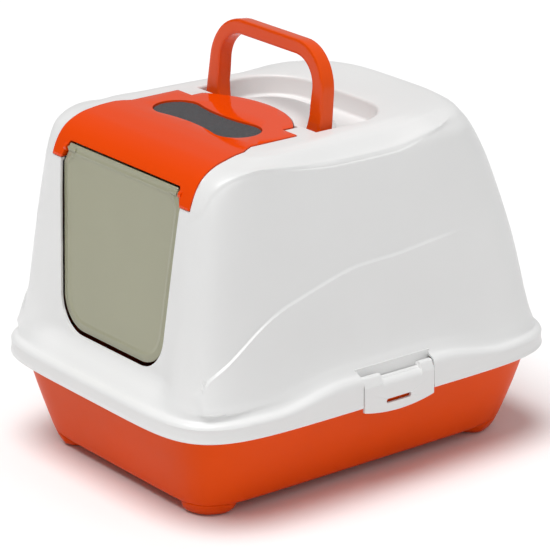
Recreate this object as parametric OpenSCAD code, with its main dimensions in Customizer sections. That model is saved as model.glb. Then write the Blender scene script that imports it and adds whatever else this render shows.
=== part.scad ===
// Hooded cat litter box: a tray, a hood held on by two side clips, a front
// cover that flips up and carries the swing door and the odour filter, and a
// carrying handle that folds back into a well in the hood's top.
// Frame: +Z up, the door faces -Y, the origin lies on the floor under the middle.

/* [Overall size] */
// Width over the hood's rim
box_width = 396; // [380:1:410]
// Length over the hood's rim, front to back
box_length = 502; // [490:1:515]
// Height of the hood's top above the floor
hood_height = 374; // [374:1:380]

/* [Shells] */
// Wall thickness of the hood
hood_wall = 2.6; // [2.2:0.1:3]
// Wall thickness of the tray
tray_wall = 2.6; // [2.2:0.1:3]
// Thickness of the flip cover
cover_wall = 2.8; // [2.4:0.1:3]
// Height that the flip cover stands proud of the hood
cover_proud = 1; // [0.6:0.1:1.4]

/* [Swing door] */
// Thickness of the door panel
door_thick = 2.4; // [2:0.1:3]
// Gap between the door and the opening's sides
door_gap = 1.6; // [1.2:0.1:2.2]
// Gap between the door and the opening's bottom edge
door_bottom_gap = 3.6; // [2.5:0.1:5]

/* [Handle] */
// Height of the handle's top above the floor
handle_top = 457; // [448:1:458]
// Thickness of the handle, front to back
handle_depth = 17; // [15:0.5:17]
// Half the distance over the handle's legs
handle_half = 98; // [96:0.5:99]
// Lean of the handle towards the rear at rest
handle_lean = 6; // [0:1:12]

/* [Clips] */
// Rear end of the clip, measured from the middle
clip_rear = 53; // [51:0.5:54]
// Front end of the clip, measured from the middle
clip_front = -40; // [-41:0.5:-38]
// Gap between a clip and the rim at each end
clip_gap = 1.2; // [0.8:0.1:1.6]

/* [Hidden] */
$fn = 48;

orange = [0.86, 0.26, 0.03];
red_orange = [0.9, 0.2, 0.02];
white = [0.93, 0.93, 0.93];
smoke = [0.62, 0.61, 0.52, 0.7];
charcoal = [0.22, 0.23, 0.25];

// The loft tables are drawn at this size and stretched to the driving dimensions.
kx = box_width / 396;
ky = box_length / 502;
kz = hood_height / 374;

// ---- Loft rings ---------------------------------------------------------
steps = 16;                 // points along each side of a ring
ring_count = 4 * steps;

function smooth(t) = let (u = min(max(t, 0), 1)) u * u * (3 - 2 * u);

// Point k of a square of half side 1, crowded towards the corners.
function square_dir(k) =
    let (side = floor(k / steps), w = sin(90 * (2 * (k % steps) / steps - 1)))
    side == 0 ? [1, w] : side == 1 ? [-w, 1] : side == 2 ? [-1, -w] : [w, -1];

// The same point drawn in onto a rounded rectangle: a high n gives tight corners.
function rounded(d, n) = d * pow(pow(abs(d.x), n) + pow(abs(d.y), n), -1 / n);

// The hood's long top edges dip between the front roll and the rear corner.
function edge_dip(y) = smooth((y + 150) / 110) * (1 - smooth((y - 35) / 65));
// The rim's shoulder climbs towards the clips at both of their ends.
function rim_climb(y) = smooth((y + 150) / 90) * (1 - smooth((y - 62) / 100));

// The doorway's plane, which leans back a little more steeply than the hood's front.
door_lean = 5.07;
door_foot = [-219.8, 148.7];
function door_plane(z) = door_foot[0] + (z - door_foot[1]) * tan(door_lean);

// Hood rings from the rim's lower edge to the crown.
// z, half width, front reach, rear reach, front and rear corner power,
// narrowing at the rear, dip of the long edges, climb of the shoulder, lean of the wall
hood_rings = [
    [103,   197.6, 250.6, 250.6,  6,   6,   0,  0,   0, 0],
    [104.5, 198,   251,   251,    6,   6,   0,  0,   0, 0],
    [111,   198,   251,   251,    6,   6,   0,  0,   2, 0],
    [118,   197.6, 250.6, 250.6,  6,   6,   0,  0,  10, 10],
    [121.5, 195.4, 248.4, 248.4,  6,   6,   0,  0,  12, 45],
    [123.2, 191.6, 244.6, 244.6,  6.3, 6.2, 0,  0,  13, 75],
    [124.4, 188.2, 241,   241,    7,   6.8, 0,  0,  13, 65],
    [127.5, 185.2, 238,   238,    8,   7.6, 0,  0,  13, 45],
    [133,   182.2, 235,   235,    9.5, 8.6, 0,  0,  12, 15],
    [142,   178.8, 231.5, 231.8, 10,   9,   0,  0,   9, 8],
    [160,   175,   227.4, 228,   10,   8.9, 0,  0,   3, 7],
    [180,   172,   224.5, 224.5, 10,   8.7, 0,  0,   0, 7],
    [220,   167.5, 219.5, 218,   10.5, 7.8, 0,  0,   0, 7],
    [260,   163,   214.5, 209.5, 11,   6.7, 0,  0,   0, 7],
    [300,   159,   209,   198.5, 12,   5.8, 0,  0,   0, 8],
    [325,   157,   204.5, 191,   13,   5.1, 0,  1.5, 0, 10],
    [342,   155.2, 198.5, 184.5, 14,   4.6, 0,  3,   0, 20],
    [354,   153.6, 191,   179,   15,   4.3, 0,  5,   0, 35],
    [362,   152.4, 181.5, 174.5, 15,   4,   2,  7,   0, 50],
    [368,   150.4, 168.5, 170.5, 15,   3.9, 5,  9,   0, 65],
    [371,   146,   155,   167,   13,   3.8, 9,  9,   0, 78],
    [373.2, 136,   141,   163,   10,   4,   15, 4,   0, 86],
    [374,   126,   129,   158,    8,   4.2, 22, 0,   0, 90]];

// How far the front wall is drawn back to off behind the doorway's plane at a point.
function door_dish(x, y, z, off) = y > 0 || z < 124 ? 0 :
    smooth((z - 124) / 26) * (1 - smooth((z - 318) / 20)) * (1 - smooth((abs(x) - 90) / 42))
    * max(door_plane(z) + off - y, 0);

// One hood point: ring r, direction d, moved inwards by off along the wall's normal.
function hood_point(r, d, off) =
    let (p = rounded(d, d.y < 0 ? r[4] : r[5]),
         side = off * cos(r[9]),
         y = ((d.y < 0 ? r[2] : r[3]) - side) * p.y,
         back = min(max((y + 100) / 250, 0), 1.2),
         x = (r[1] - side) * p.x * (1 - r[6] / r[1] * pow(back, 1.5)),
         z = r[0] - off * sin(r[9]) - r[7] * edge_dip(y) + r[8] * rim_climb(y))
    [x * kx, (y + door_dish(x, y, z, off)) * ky, z * kz];

function ring_points(first, off) =
    [for (j = [first:len(hood_rings) - 1]) for (k = [0:ring_count - 1])
        hood_point(hood_rings[j], square_dir(k), off)];

// Quads between ring a and the ring after it; flip turns them inside out.
function band_faces(a, b, flip) =
    [for (k = [0:ring_count - 1])
        let (n = (k + 1) % ring_count, q = [a + k, a + n, b + n, b + k])
        each flip ? [[q[0], q[1], q[2]], [q[0], q[2], q[3]]]
                  : [[q[0], q[2], q[1]], [q[0], q[3], q[2]]]];

// The rings that the cover and its ledge are cut from start above the doorway's middle.
top_rings = 14;

// A shell between two offsets of the hood's surface, from ring first up, open below.
module hood_skin(outer, inner, first = 0) {
    m = len(hood_rings) - first;
    last = (m - 1) * ring_count;
    inside = m * ring_count;
    polyhedron(
        points = concat(ring_points(first, outer), ring_points(first, inner)),
        faces = concat(
            [for (j = [0:m - 2]) each band_faces(j * ring_count, (j + 1) * ring_count, false)],
            [for (j = [0:m - 2])
                each band_faces(inside + j * ring_count, inside + (j + 1) * ring_count, true)],
            band_faces(0, inside, true),
            [[for (k = [ring_count - 1:-1:0]) last + k]],
            [[for (k = [0:ring_count - 1]) inside + last + k]]),
        convexity = 8);
}

// ---- Shared outlines ----------------------------------------------------
// A flat shape drawn in X and Z, standing up and running back from y_front.
module upright(y_front, depth)
    translate([0, y_front + depth, 0]) rotate([90, 0, 0]) linear_extrude(depth) children();

// The doorway, seen from the front, grown by grow.
doorway_low = [88.2, 148.7];
doorway_high = [104.9, 328];
doorway_corner = 27;
doorway_steps = 8;
module doorway(grow) {
    rise = doorway_high[1] - doorway_low[1];
    side = (doorway_high[0] - doorway_low[0]) / rise;
    foot = doorway_low[0] + grow;
    low = doorway_low[1] - grow;
    turn = doorway_corner + grow;
    // The corner's centre sits where an arc of this radius meets both edges.
    cx = foot + side * turn - turn * sqrt(1 + side * side);
    sweep = 90 - atan(side);
    right = concat([for (k = [0:doorway_steps]) let (a = sweep * k / doorway_steps - 90)
                        [cx + turn * cos(a), low + turn + turn * sin(a)]],
                   [[doorway_high[0] + grow + 20 * side, doorway_high[1] + 20]]);
    polygon(concat(right, [for (k = [len(right) - 1:-1:0]) [-right[k][0], right[k][1]]]));
}

// The flip cover, seen from above, grown by grow.
cover_half_front = 120.2;
cover_half_step = 110.8;
cover_half = 102.5;
cover_step_y = -131;
cover_corner_y = -54;
cover_bulge_y = -12;
cover_bulge_half = 78;
cover_axis = [-40, hood_height - 3];
bulge_radius = (pow(cover_bulge_half, 2) + pow(cover_bulge_y - cover_axis[0], 2))
    / (2 * (cover_bulge_y - cover_axis[0]));
module cover_plan(grow) {
    polygon([[-cover_half_front - grow, -262], [cover_half_front + grow, -262],
             [cover_half_front + grow, -201], [cover_half_step + grow, cover_step_y + grow],
             [-cover_half_step - grow, cover_step_y + grow], [-cover_half_front - grow, -201]]);
    translate([-cover_half - grow, cover_step_y - 1])
        square([2 * (cover_half + grow), cover_corner_y + grow - cover_step_y + 1]);
    intersection() {
        translate([0, cover_bulge_y - bulge_radius]) circle(bulge_radius + grow, $fn = 96);
        translate([-cover_bulge_half - grow, cover_corner_y - 10])
            square([2 * (cover_bulge_half + grow), 60]);
    }
}

// The opening under the cover: a ledge is left around it, except at the bulge,
// which dips into the hood as the cover opens.
ledge_width = 7;
module access_plan() {
    translate([-cover_half + ledge_width, cover_step_y - 30])
        square([2 * (cover_half - ledge_width), cover_corner_y - cover_step_y + 27]);
    intersection() {
        translate([0, cover_bulge_y - bulge_radius]) circle(bulge_radius + 1.5, $fn = 96);
        translate([-cover_bulge_half - 1.5, cover_corner_y - 10])
            square([2 * cover_bulge_half + 3, 60]);
    }
    // Room for the bulge's corners, which swing back as the cover opens.
    translate([-cover_bulge_half - 1.5, cover_corner_y - 10]) square([2 * cover_bulge_half + 3, 29.6]);
}

// The window in the cover that shows the filter: two lobes and a waist.
filter_y = -92;
filter_lobe = 26;
filter_reach = 51.5;
filter_waist = 20;
module filter_plan(grow) {
    // The waist's hollow arcs touch both lobes.
    sag = filter_lobe - filter_waist;
    arc = (filter_reach * filter_reach + pow(filter_waist, 2) - pow(filter_lobe, 2)) / (2 * sag);
    touch = filter_lobe / (filter_lobe + arc);
    for (s = [-1, 1]) translate([s * filter_reach, 0]) circle(filter_lobe + grow);
    difference() {
        square([2 * filter_reach * (1 - touch) + 0.02,
                2 * touch * (filter_waist + arc) + 0.02], center = true);
        for (s = [-1, 1]) translate([0, s * (filter_waist + arc)]) circle(arc - grow, $fn = 128);
    }
}

// ---- Handle well in the hood's top --------------------------------------
well_half = 101.5;
well_rear = 82;
well_front = -30;
well_floor = hood_height - 21.5;
well_corner = 56;
island_half = 66;
island_rear = 47;
island_corner = 30;
handle_axis = [-13, hood_height - 10.5];

// A rounded block seen from above, square at the front.
module arch_plan(half, front, rear, corner) {
    translate([-half, front]) square([2 * half, rear - corner - front]);
    translate([corner - half, front]) square([2 * (half - corner), rear - front]);
    for (s = [-1, 1]) translate([s * (half - corner), rear - corner]) circle(corner);
}

module island_plan(grow)
    difference() {
        arch_plan(island_half + grow, well_front - 8, island_rear + grow, island_corner + grow);
        cover_plan(2);
    }

// ---- Tray ---------------------------------------------------------------
// z, half width, half length, corner power
tray_rings = [
    [10,   136.5, 198,   8.5], [10.6, 141.5, 203,   9],   [12.6, 145.4, 207,   9.4],
    [16,   148.4, 210,   9.6], [21.5, 150.9, 211.8, 9.6], [45,   160,   218.2, 9],
    [70,   168.8, 224.8, 8.4], [100,  179,   232,   7.6], [112,  182.5, 234.8, 7.2],
    [117,  183,   235.3, 7.2]];
tray_floor = 10;
flange_z = 112;
flange_out = [193.6, 246.6];
foot_half = [137, 200];
foot_reach = 48;
foot_round = 4;
catch_y = [-14, 25];

function tray_point(r, d, off) =
    let (p = rounded(d, r[3]), z = r[0] == tray_floor ? r[0] + off : r[0])
    [(r[1] - off) * p.x * kx, (r[2] - off) * p.y * ky, z];

module tray_shell() {
    m = len(tray_rings);
    inside = m * ring_count;
    top = (m - 1) * ring_count;
    lifted = [for (r = tray_rings) [max(r[0], tray_floor) + tray_wall * (1 - smooth((r[0] - 10) / 12)),
                                    r[1], r[2], r[3]]];
    polyhedron(
        points = concat(
            [for (r = tray_rings) for (k = [0:ring_count - 1]) tray_point(r, square_dir(k), 0)],
            [for (r = lifted) for (k = [0:ring_count - 1]) tray_point(r, square_dir(k), tray_wall)]),
        faces = concat(
            [for (j = [0:m - 2]) each band_faces(j * ring_count, (j + 1) * ring_count, false)],
            [for (j = [0:m - 2])
                each band_faces(inside + j * ring_count, inside + (j + 1) * ring_count, true)],
            band_faces(top, inside + top, false),
            [[for (k = [0:ring_count - 1]) k]],
            [[for (k = [ring_count - 1:-1:0]) inside + k]]),
        convexity = 6);
}

// A flat ring outline of the tray's flange.
module rim_plan(half_w, half_l, n)
    polygon([for (k = [0:ring_count - 1]) let (p = rounded(square_dir(k), n))
        [half_w * p.x * kx, half_l * p.y * ky]]);

module tray() color(orange) union() {
    tray_shell();
    // Flange and its downturned lip, hidden inside the hood's rim.
    translate([0, 0, flange_z]) linear_extrude(2.6) difference() {
        rim_plan(flange_out[0], flange_out[1], 6);
        rim_plan(181, 233.3, 7.2);
    }
    translate([0, 0, 105]) linear_extrude(flange_z - 105 + 0.1) difference() {
        rim_plan(flange_out[0], flange_out[1], 6);
        rim_plan(flange_out[0] - 2.4, flange_out[1] - 2.4, 6);
    }
    // Catches behind the clips' slots.
    for (s = [-1, 1]) translate([s > 0 ? 190.6 * kx : -193.4 * kx, catch_y[0], 99])
        cube([2.8 * kx, catch_y[1] - catch_y[0], 8]);
    // Corner feet: the tray's corners carried down to the floor, with rounded soles.
    for (x = [-1, 1]) for (y = [-1, 1]) {
        foot(x, y, 0, foot_round);
        foot(x, y, 1.4, 1.4);
        foot(x, y, foot_round, 0);
    }
}

// One layer of a corner foot, from height z up, drawn in by inset.
module foot(x, y, z, inset)
    translate([0, 0, z]) linear_extrude(tray_floor + 1 - z) intersection() {
        rim_plan(foot_half[0] - inset, foot_half[1] - inset, 9);
        translate([x * foot_half[0] * kx, y * foot_half[1] * ky]) circle(foot_reach - inset);
    }

// ---- Hinge pins and bores -----------------------------------------------
latch_axis = [189.5 * kx, 129.8];
latch_pin_radius = 2;
latch_pin_reach = 8;
cover_pin_radius = 2.2;
cover_pin_x = [63, 90];
handle_pin_radius = 3.6;
handle_pin_x = [86, 113];
door_pin_radius = 1.8;
door_pin_x = [84, 102];
door_axis = [door_plane(340) * ky + 5.4, 340];
running_gap = 0.06;

// A round rod along X on side s (1 right, -1 left), between two distances from the middle.
module rod_x(radius, s, from, to, axis)
    translate([s > 0 ? from : -to, axis[0], axis[1]])
        rotate([0, 90, 0]) cylinder(r = radius, h = to - from);

// A round rod along Y.
module rod_y(radius, x, from, to, z)
    translate([x, from, z]) rotate([-90, 0, 0]) cylinder(r = radius, h = to - from);

function around(middle, low, high) = [middle + low, middle + high];

// A box on side s, between two distances from the middle.
module side_box(s, x, y, z)
    translate([s > 0 ? x[0] : -x[1], y[0], z[0]]) cube([x[1] - x[0], y[1] - y[0], z[1] - z[0]]);

// ---- Hood ---------------------------------------------------------------
ledge_depth = 2.4;
seat_z = 328.4;
clip_wall = [183 * kx, 185.4 * kx];
rib_places = [[187, 165], [70, 241]];

module hood() color(white) difference() {
    union() {
        difference() {
            hood_skin(0, hood_wall);
            // Seat of the flip cover.
            translate([0, 0, seat_z]) linear_extrude(70) cover_plan(0.7);
            // Room for the clips.
            for (s = [-1, 1])
                side_box(s, [clip_wall[1], 215], [clip_front - clip_gap, clip_rear + clip_gap], [95, 150]);
        }
        // Ledge that the flip cover rests on.
        intersection() {
            hood_skin(ledge_depth, ledge_depth + 2.2, top_rings);
            translate([0, 0, seat_z - 3]) linear_extrude(70) difference() {
                cover_plan(3);
                access_plan();
            }
        }
        for (s = [-1, 1]) {
            // Wall behind the clip, and the bosses that hold its pins.
            side_box(s, clip_wall, [clip_front - clip_gap - 2, clip_rear + clip_gap + 2], [117.6, 142]);
            rod_y(4.2, s * latch_axis[0], clip_front - clip_gap - 9, clip_front - clip_gap, latch_axis[1]);
            rod_y(4.2, s * latch_axis[0], clip_rear + clip_gap, clip_rear + clip_gap + 9, latch_axis[1]);
            // Blocks that hold the cover's pins.
            side_box(s, [cover_bulge_half + 1.6, 93], around(cover_axis[0], -4.6, 4.6),
                     [cover_axis[1] - 5.5, cover_axis[1] + 3]);
            // Ribs that rest on the tray's flange.
            for (p = rib_places) for (e = [-1, 1])
                side_box(s, around(p[0] * kx, -2, 2), around(e * p[1] * ky, -2, 2), [flange_z + 2.9, 122.6]);
        }
        // Handle well, with bosses for the handle's pins.
        translate([0, 0, well_floor - 2.4]) linear_extrude(hood_height - 0.4 - well_floor + 2.4)
            difference() {
                arch_plan(well_half + 2.4, well_front - 4, well_rear + 2.4, well_corner + 2.4);
                cover_plan(2);
            }
        for (s = [-1, 1]) rod_x(7, s, well_half, well_half + 12, handle_axis);
    }
    // Doorway, and the opening under the cover.
    upright(-262, 100) doorway(0);
    upright(-262, 112) translate([-108.6, seat_z - 0.5]) square([217.2, 70]);
    translate([0, 0, seat_z]) linear_extrude(70) access_plan();
    // Groove of the well around its island, and the island's hollow.
    translate([0, 0, well_floor]) linear_extrude(40) difference() {
        arch_plan(well_half, well_front, well_rear, well_corner);
        island_plan(0);
        cover_plan(4);
    }
    translate([0, 0, well_floor - 5]) linear_extrude(hood_height - 3 - well_floor + 5)
        offset(-2.4) island_plan(0);
    for (s = [-1, 1]) {
        rod_y(latch_pin_radius + running_gap, s * latch_axis[0],
              clip_front - latch_pin_reach - 1, clip_front, latch_axis[1]);
        rod_y(latch_pin_radius + running_gap, s * latch_axis[0],
              clip_rear, clip_rear + latch_pin_reach + 1, latch_axis[1]);
        rod_x(handle_pin_radius + running_gap, s, well_half - 1, handle_pin_x[1] + 1, handle_axis);
        rod_x(cover_pin_radius + running_gap, s, 70, cover_pin_x[1] + 0.6, cover_axis);
    }
}

// ---- Flip cover ---------------------------------------------------------
prong_foot = 329.5;
window_top = [96.6, 347.8];
window_foot = [106.2, 325];
ear_x = [98.6, 102.8];
flange_depth = 9;

// The window above the doorway, seen from the front.
module window_front(grow)
    polygon([[-window_foot[0] - grow, window_foot[1]], [window_foot[0] + grow, window_foot[1]],
             [window_top[0] + grow, window_top[1] + grow], [-window_top[0] - grow, window_top[1] + grow]]);

module flip_cover() color(red_orange) difference() {
    union() {
        intersection() {
            hood_skin(-cover_proud, cover_wall - cover_proud, top_rings);
            translate([0, 0, prong_foot]) linear_extrude(70) cover_plan(0);
        }
        // Turned-in flange around the window.
        intersection() {
            hood_skin(1, flange_depth, top_rings);
            upright(-262, 100) difference() {
                window_front(2.2);
                window_front(0);
            }
            translate([-150, -262, prong_foot]) cube([300, 120, 60]);
        }
        for (s = [-1, 1]) {
            // Ears for the door's pins, and barrels for the cover's own pins.
            hull() {
                rod_x(4.4, s, ear_x[0], ear_x[1], door_axis);
                side_box(s, ear_x, around(door_axis[0], -5, 4), [344, 348]);
            }
            rod_x(4, s, 62, 74, cover_axis);
        }
        // Skirt around the filter.
        translate([0, filter_y, hood_height - 10.3]) linear_extrude(9) filter_plan(2);
    }
    upright(-262, 112) window_front(0);
    translate([0, filter_y, hood_height - 12]) linear_extrude(20) filter_plan(0);
    for (s = [-1, 1]) {
        rod_x(cover_pin_radius + running_gap, s, cover_pin_x[0] - 0.6, cover_bulge_half + 1, cover_axis);
        rod_x(door_pin_radius + running_gap, s, ear_x[0] - 1, ear_x[1] + 1, door_axis);
    }
}

// ---- Swing door ---------------------------------------------------------
door_top = 346;
door_recess = 3.2;
module door_outline() intersection() {
    translate([0, door_bottom_gap - door_gap]) doorway(-door_gap);
    polygon([[-103.4, 100], [103.4, 100], [103.4, 324], [95, 339.5], [95, door_top],
             [-95, door_top], [-95, 339.5], [-103.4, 324]]);
}

module swing_door() color(smoke) difference() {
    union() {
        // The panel leans with the hood's front; its outline is drawn upright.
        intersection() {
            upright(-262, 100) door_outline();
            translate([-120, door_plane(0) * ky + door_recess, 0]) rotate([-door_lean, 0, 0])
                cube([240, door_thick, 400]);
        }
        for (s = [-1, 1]) rod_x(3.6, s, 82, 95, door_axis);
    }
    for (s = [-1, 1]) rod_x(door_pin_radius + running_gap, s, door_pin_x[0] - 0.6, 96, door_axis);
}

// ---- Odour filter and its holder ----------------------------------------
filter_thick = 9.6;
module carbon_filter() color(charcoal)
    translate([0, filter_y, hood_height - filter_thick]) linear_extrude(filter_thick) filter_plan(-0.4);

holder_z = hood_height - 12.4;
module filter_holder() color(white) translate([0, filter_y, holder_z]) {
    linear_extrude(6) difference() {
        filter_plan(4.4);
        filter_plan(2.25);
    }
    linear_extrude(2) intersection() {
        filter_plan(2.6);
        union() {
            for (x = [-60:20:60]) translate([x - 1.2, -40]) square([2.4, 80]);
            translate([-90, -1.2]) square([180, 2.4]);
        }
    }
}

// ---- Handle -------------------------------------------------------------
handle_bar = 16;
handle_leg = 21;
handle_corner = 48;
// The round feet stand a little proud of the legs, and end just inside their faces.
foot_proud = 0.5;
foot_inset = 0.6;
// The bar's height before the handle leans back.
bail_top = handle_axis[1] + (handle_top - handle_axis[1]) / cos(handle_lean)
    - handle_depth / 2 * tan(handle_lean);

// The bail seen from the front: legs that lean in a little under a rounded bar.
module bail(half, top, corner, foot) hull() {
    for (s = [-1, 1]) {
        translate([s * (half - 3 - corner), top - corner]) circle(corner, $fn = 96);
        translate([s > 0 ? half - 10 : -half, foot]) square([10, 12]);
    }
}

module handle() color(red_orange) difference() {
    union() {
        translate([0, handle_axis[0], handle_axis[1]]) rotate([-handle_lean, 0, 0])
            translate([0, -handle_axis[0], -handle_axis[1]])
                upright(handle_axis[0] - handle_depth / 2, handle_depth) difference() {
                    bail(handle_half, bail_top, handle_corner, handle_axis[1]);
                    bail(handle_half - handle_leg, bail_top - handle_bar, handle_corner - 14,
                         handle_axis[1] - 9);
                }
        for (s = [-1, 1])
            rod_x(handle_depth / 2 + foot_proud, s, handle_half - handle_leg + foot_inset,
                  handle_half - foot_inset, handle_axis);
    }
    for (s = [-1, 1])
        rod_x(handle_pin_radius + running_gap, s, handle_pin_x[0] - 0.6, handle_half + 1, handle_axis);
}

// ---- Side clips ---------------------------------------------------------
// A clip's section, running down the rim from its rounded shoulder.
clip_out = 198;
clip_in = 194.7;
module clip_section() {
    shoulder = 119;
    turn = 8.5;
    difference() {
        union() {
            translate([clip_in, 88]) square([clip_out - clip_in, shoulder - 88]);
            translate([clip_out - turn, shoulder]) circle(turn);
        }
        translate([clip_out - turn, shoulder]) circle(turn - (clip_out - clip_in));
        translate([clip_in - 20, 80]) square([20, shoulder - 80]);
        translate([clip_in - 20, 80]) square([17.5, 60]);
    }
}

// The clip seen from its side: its lower edge is a shallow arc.
module clip_side() {
    arc = 190;
    low = 91.4;
    mid = (clip_front + clip_rear) / 2;
    intersection() {
        translate([clip_front, 80]) square([clip_rear - clip_front, 60]);
        translate([mid, low + arc]) circle(arc, $fn = 200);
    }
}

module latch(s) color(white) difference() {
    union() {
        intersection() {
            translate([0, clip_rear + 1, 0]) rotate([90, 0, 0])
                linear_extrude(clip_rear - clip_front + 2) scale([s * kx, 1]) clip_section();
            translate([s > 0 ? 170 : -210, 0, 0]) rotate([90, 0, 90]) linear_extrude(40) clip_side();
        }
        for (y = [[clip_front, clip_front + 24], [clip_rear - 16, clip_rear]]) {
            hull() {
                rod_y(4, s * latch_axis[0], y[0], y[1], latch_axis[1]);
                rod_y(3.6, s * (clip_out - 3.9) * kx, y[0], y[1], 120);
            }
        }
    }
    // Finger slot.
    side_box(s, [190, 200 * kx], [-11, 22], [101, 106]);
    rod_y(latch_pin_radius + running_gap, s * latch_axis[0],
          clip_front - 1, clip_front + latch_pin_reach + 0.6, latch_axis[1]);
    rod_y(latch_pin_radius + running_gap, s * latch_axis[0],
          clip_rear - latch_pin_reach - 0.6, clip_rear + 1, latch_axis[1]);
}

module latch_pins(s) color(white) {
    rod_y(latch_pin_radius, s * latch_axis[0],
          clip_front - latch_pin_reach, clip_front + latch_pin_reach, latch_axis[1]);
    rod_y(latch_pin_radius, s * latch_axis[0],
          clip_rear - latch_pin_reach, clip_rear + latch_pin_reach, latch_axis[1]);
}

module handle_pin(s) color(white) rod_x(handle_pin_radius, s, handle_pin_x[0], handle_pin_x[1], handle_axis);
module cover_pin(s) color(white) rod_x(cover_pin_radius, s, cover_pin_x[0], cover_pin_x[1], cover_axis);
module door_pin(s) color(smoke) rod_x(door_pin_radius, s, door_pin_x[0], door_pin_x[1], door_axis);

tray();
hood();
flip_cover();
swing_door();
carbon_filter();
filter_holder();
handle();
latch(-1);  // latch_left
latch(1);  // latch_right
latch_pins(-1);  // latch_pins_left
latch_pins(1);  // latch_pins_right
handle_pin(-1);  // handle_pin_left
handle_pin(1);  // handle_pin_right
cover_pin(-1);  // cover_pin_left
cover_pin(1);  // cover_pin_right
door_pin(-1);  // door_pin_left
door_pin(1);  // door_pin_right
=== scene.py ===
import math

import bmesh
import bpy
from bpy.props import FloatProperty, FloatVectorProperty, PointerProperty
from mathutils import Matrix, Vector, noise


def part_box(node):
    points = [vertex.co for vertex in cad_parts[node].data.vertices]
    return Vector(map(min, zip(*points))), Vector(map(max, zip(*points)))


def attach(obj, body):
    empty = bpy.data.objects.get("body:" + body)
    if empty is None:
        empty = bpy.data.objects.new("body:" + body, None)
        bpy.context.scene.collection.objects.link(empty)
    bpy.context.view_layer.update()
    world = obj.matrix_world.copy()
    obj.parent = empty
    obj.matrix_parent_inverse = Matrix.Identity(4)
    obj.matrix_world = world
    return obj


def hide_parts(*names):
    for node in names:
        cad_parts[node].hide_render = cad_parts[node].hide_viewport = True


bl_info = {
    "name": "Hooded litter box",
    "version": (1, 0, 0),
    "blender": (4, 5, 0),
    "location": "3D View > Sidebar > Litter box",
    "description": "Moulded shells, door, handle and filter of a hooded cat litter box",
    "category": "Add Mesh",
}

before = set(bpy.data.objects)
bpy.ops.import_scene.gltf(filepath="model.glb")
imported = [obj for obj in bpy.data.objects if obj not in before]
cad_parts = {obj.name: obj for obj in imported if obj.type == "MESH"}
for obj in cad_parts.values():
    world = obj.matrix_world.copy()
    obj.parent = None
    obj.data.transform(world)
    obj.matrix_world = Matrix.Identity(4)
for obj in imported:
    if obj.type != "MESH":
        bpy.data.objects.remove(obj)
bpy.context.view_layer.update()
MM = 0.001          # pieces are shaped in millimetres and brought to metres when they are done
WELD = 0.002        # points closer than this are one point

# ---- Measures shared by the pieces, in millimetres -----------------------
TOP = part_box("hood")[1].z / MM
SEAT = 328.4                            # the hood is cut away for the cover above this height
COVER_FOOT = 329.5                      # the cover's lowest edge
COVER_GAP = 0.7                         # between the cover's edge and the hood
COVER_AXIS = (-40.0, TOP - 3)           # hinge axes run along x: y, height
HANDLE_AXIS = (-13.0, TOP - 10.5)
LATCH_AXIS = (189.5, 129.8)             # clip axes run along y: x, height
HANDLE_HOLE, COVER_HOLE, BARREL_HOLE, LATCH_HOLE = 3.7, 2.3, 2.26, 2.06     # radii round the pins
BARREL, DOOR_EAR, DOOR_KNUCKLE = 4, 4.4, 3.6                                # radii of the hinges
CLIP = (-40.0, 53.0)                    # the side clips' reach along y
CLIP_GAP = 1.2                          # between a clip and its recess
DOOR_LEAN = math.tan(math.radians(5.07))
DOOR_FOOT = (-219.8, 148.7)             # the doorway's lower edge: y, height
DOOR_HALF = 88.2                        # half width of the doorway at its lower edge
DOOR_SPREAD = (104.9 - DOOR_HALF) / (328 - DOOR_FOOT[1])    # it widens by this share of its height
DOOR_CORNER = 40.0                      # radius of its lower corners
DOOR_AXIS = (DOOR_FOOT[0] + (340 - DOOR_FOOT[1]) * DOOR_LEAN + 5.4, 340.0)
FRONT = (-262, -150)                    # reach of the shapes that cut through the front wall
FILTER_Y = -92.0                        # the filter's middle
FILTER_LOBE, FILTER_REACH, FILTER_WAIST = 26, 51.5, 20      # lobe radius and middle, half waist
BULGE_HALF, BULGE_RISE, BULGE_FOOT = 78, 28, -40            # the cover's rear bulge
CLEAR = (300, 400)                      # heights well below and above the roof

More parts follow.
